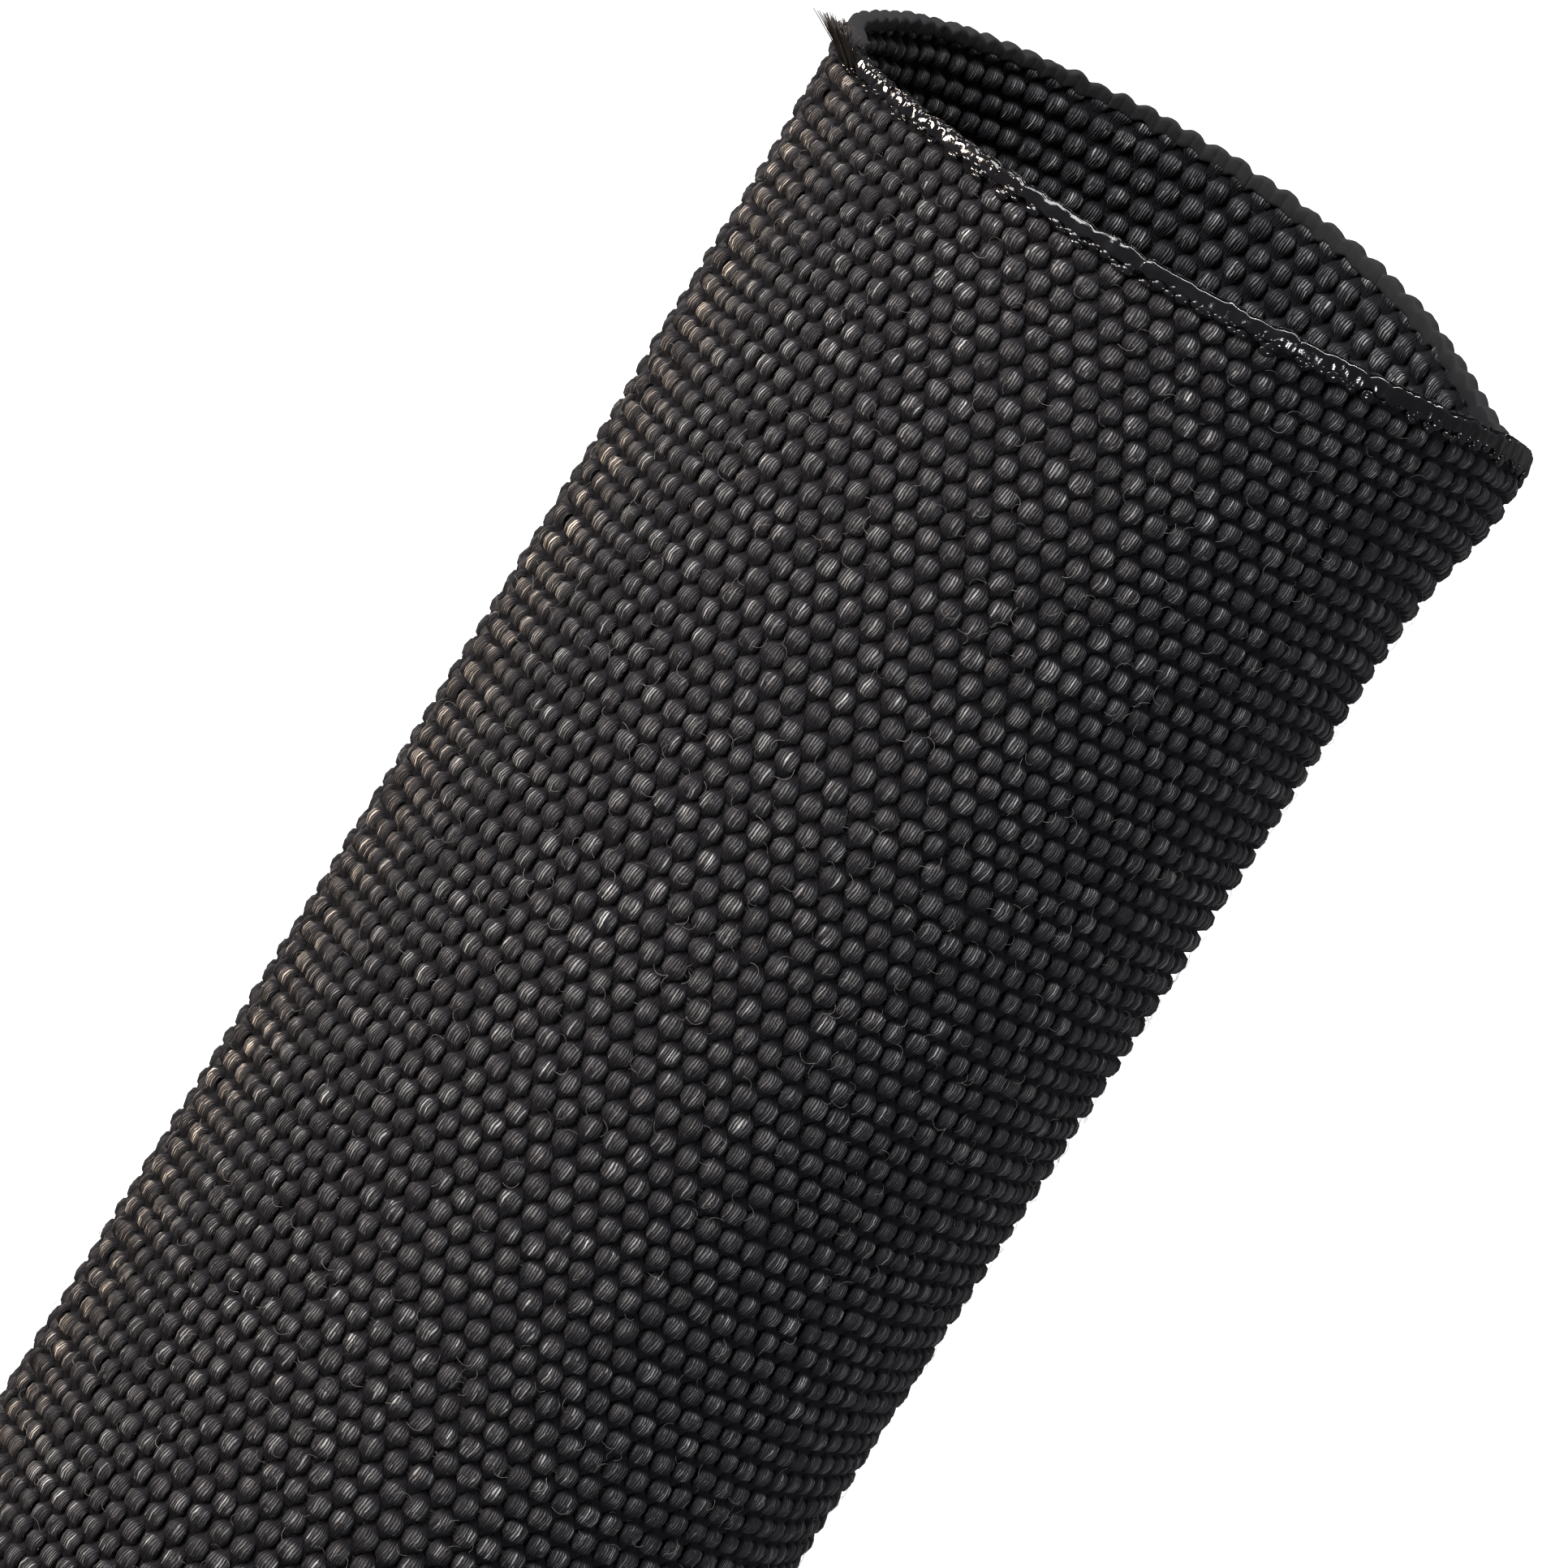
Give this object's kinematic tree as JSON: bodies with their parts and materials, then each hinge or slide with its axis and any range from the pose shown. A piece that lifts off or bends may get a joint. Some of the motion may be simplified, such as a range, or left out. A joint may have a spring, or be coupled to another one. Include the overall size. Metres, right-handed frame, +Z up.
{
  "type": "woven hose sleeve",
  "caption": "Tubular woven nylon sleeve that covers a hose: round when open, presses flat on its two folds, with melted beads at both cut ends.",
  "frame": {"origin": "centre of the sleeve's footprint, on the surface that it lies on", "axes": "+Y along the sleeve to its open mouth, +Z up, +X to the right fold when looking towards the mouth"},
  "size_m": [0.042, 0.15, 0.0397],
  "materials": {
    "woven_nylon": "black warp-faced weave of bulked nylon yarn, dull with a soft sheen",
    "melted_nylon": "black nylon melted by a hot knife, glossy and uneven",
    "frayed_yarn": "loose black filaments"
  },
  "bodies": {
    "lower_band_1": {"lower_band_1": "woven_nylon", "mouth_bead_lower_1": "melted_nylon", "tail_bead_lower_1": "melted_nylon", "frayed_tuft": "frayed_yarn"},
    "lower_band_2": {"lower_band_2": "woven_nylon", "mouth_bead_lower_2": "melted_nylon", "tail_bead_lower_2": "melted_nylon"},
    "lower_band_3": {"lower_band_3": "woven_nylon", "mouth_bead_lower_3": "melted_nylon", "tail_bead_lower_3": "melted_nylon"},
    "lower_band_4": {"lower_band_4": "woven_nylon", "mouth_bead_lower_4": "melted_nylon", "tail_bead_lower_4": "melted_nylon"},
    "lower_band_5": {"lower_band_5": "woven_nylon", "mouth_bead_lower_5": "melted_nylon", "tail_bead_lower_5": "melted_nylon"},
    "lower_band_6": {"lower_band_6": "woven_nylon", "mouth_bead_lower_6": "melted_nylon", "tail_bead_lower_6": "melted_nylon"},
    "lower_band_7": {"lower_band_7": "woven_nylon", "mouth_bead_lower_7": "melted_nylon", "tail_bead_lower_7": "melted_nylon"},
    "upper_band_1": {"upper_band_1": "woven_nylon", "mouth_bead_upper_1": "melted_nylon", "tail_bead_upper_1": "melted_nylon"},
    "upper_band_2": {"upper_band_2": "woven_nylon", "mouth_bead_upper_2": "melted_nylon", "tail_bead_upper_2": "melted_nylon"},
    "upper_band_3": {"upper_band_3": "woven_nylon", "mouth_bead_upper_3": "melted_nylon", "tail_bead_upper_3": "melted_nylon"},
    "upper_band_4": {"upper_band_4": "woven_nylon", "mouth_bead_upper_4": "melted_nylon", "tail_bead_upper_4": "melted_nylon"},
    "upper_band_5": {"upper_band_5": "woven_nylon", "mouth_bead_upper_5": "melted_nylon", "tail_bead_upper_5": "melted_nylon"},
    "upper_band_6": {"upper_band_6": "woven_nylon", "mouth_bead_upper_6": "melted_nylon", "tail_bead_upper_6": "melted_nylon"},
    "upper_band_7": {"upper_band_7": "woven_nylon", "mouth_bead_upper_7": "melted_nylon", "tail_bead_upper_7": "melted_nylon"}
  },
  "joints": [
    {"name": "left_fold", "type": "hinge", "parent": "lower_band_1", "child": "upper_band_1", "pos_m": [-0.01953, 0, 0.01983], "axis": [0, 1, 0], "range_deg": [-4.29, 147], "stiffness_Nm_per_rad": 0.02},
    {"name": "lower_hinge_3_4", "type": "hinge", "parent": "lower_band_4", "child": "lower_band_3", "pos_m": [-0.00423, 0, 0.0016], "axis": [0, 1, 0], "range_deg": [-27, 3.21], "stiffness_Nm_per_rad": 0.02},
    {"name": "lower_hinge_2_3", "type": "hinge", "parent": "lower_band_3", "child": "lower_band_2", "pos_m": [-0.0119, 0, 0.00517], "axis": [0, 1, 0], "range_deg": [-27, 3.21], "stiffness_Nm_per_rad": 0.02},
    {"name": "lower_hinge_1_2", "type": "hinge", "parent": "lower_band_2", "child": "lower_band_1", "pos_m": [-0.01733, 0, 0.01166], "axis": [0, 1, 0], "range_deg": [-27, 3.21], "stiffness_Nm_per_rad": 0.02},
    {"name": "lower_hinge_4_5", "type": "hinge", "parent": "lower_band_4", "child": "lower_band_5", "pos_m": [0.00423, 0, 0.0016], "axis": [0, 1, 0], "range_deg": [-3.21, 27], "stiffness_Nm_per_rad": 0.02},
    {"name": "lower_hinge_5_6", "type": "hinge", "parent": "lower_band_5", "child": "lower_band_6", "pos_m": [0.0119, 0, 0.00517], "axis": [0, 1, 0], "range_deg": [-3.21, 27], "stiffness_Nm_per_rad": 0.02},
    {"name": "lower_hinge_6_7", "type": "hinge", "parent": "lower_band_6", "child": "lower_band_7", "pos_m": [0.01733, 0, 0.01166], "axis": [0, 1, 0], "range_deg": [-3.21, 27], "stiffness_Nm_per_rad": 0.02},
    {"name": "upper_hinge_1_2", "type": "hinge", "parent": "upper_band_1", "child": "upper_band_2", "pos_m": [-0.01733, 0, 0.028], "axis": [0, 1, 0], "range_deg": [-27, 3.21], "stiffness_Nm_per_rad": 0.02},
    {"name": "upper_hinge_2_3", "type": "hinge", "parent": "upper_band_2", "child": "upper_band_3", "pos_m": [-0.0119, 0, 0.03448], "axis": [0, 1, 0], "range_deg": [-27, 3.21], "stiffness_Nm_per_rad": 0.02},
    {"name": "upper_hinge_3_4", "type": "hinge", "parent": "upper_band_3", "child": "upper_band_4", "pos_m": [-0.00423, 0, 0.03805], "axis": [0, 1, 0], "range_deg": [-27, 3.21], "stiffness_Nm_per_rad": 0.02},
    {"name": "upper_hinge_4_5", "type": "hinge", "parent": "upper_band_4", "child": "upper_band_5", "pos_m": [0.00423, 0, 0.03805], "axis": [0, 1, 0], "range_deg": [-27, 3.21], "stiffness_Nm_per_rad": 0.02},
    {"name": "upper_hinge_5_6", "type": "hinge", "parent": "upper_band_5", "child": "upper_band_6", "pos_m": [0.0119, 0, 0.03448], "axis": [0, 1, 0], "range_deg": [-27, 3.21], "stiffness_Nm_per_rad": 0.02},
    {"name": "upper_hinge_6_7", "type": "hinge", "parent": "upper_band_6", "child": "upper_band_7", "pos_m": [0.01733, 0, 0.028], "axis": [0, 1, 0], "range_deg": [-27, 3.21], "stiffness_Nm_per_rad": 0.02}
  ],
  "couplings": [
    {"joint": "lower_hinge_3_4", "follows": "left_fold", "ratio": -0.16667},
    {"joint": "lower_hinge_2_3", "follows": "left_fold", "ratio": -0.16667},
    {"joint": "lower_hinge_1_2", "follows": "left_fold", "ratio": -0.16667},
    {"joint": "lower_hinge_4_5", "follows": "left_fold", "ratio": 0.16667},
    {"joint": "lower_hinge_5_6", "follows": "left_fold", "ratio": 0.16667},
    {"joint": "lower_hinge_6_7", "follows": "left_fold", "ratio": 0.16667},
    {"joint": "upper_hinge_1_2", "follows": "left_fold", "ratio": -0.16667},
    {"joint": "upper_hinge_2_3", "follows": "left_fold", "ratio": -0.16667},
    {"joint": "upper_hinge_3_4", "follows": "left_fold", "ratio": -0.16667},
    {"joint": "upper_hinge_4_5", "follows": "left_fold", "ratio": -0.16667},
    {"joint": "upper_hinge_5_6", "follows": "left_fold", "ratio": -0.16667},
    {"joint": "upper_hinge_6_7", "follows": "left_fold", "ratio": -0.16667}
  ]
}
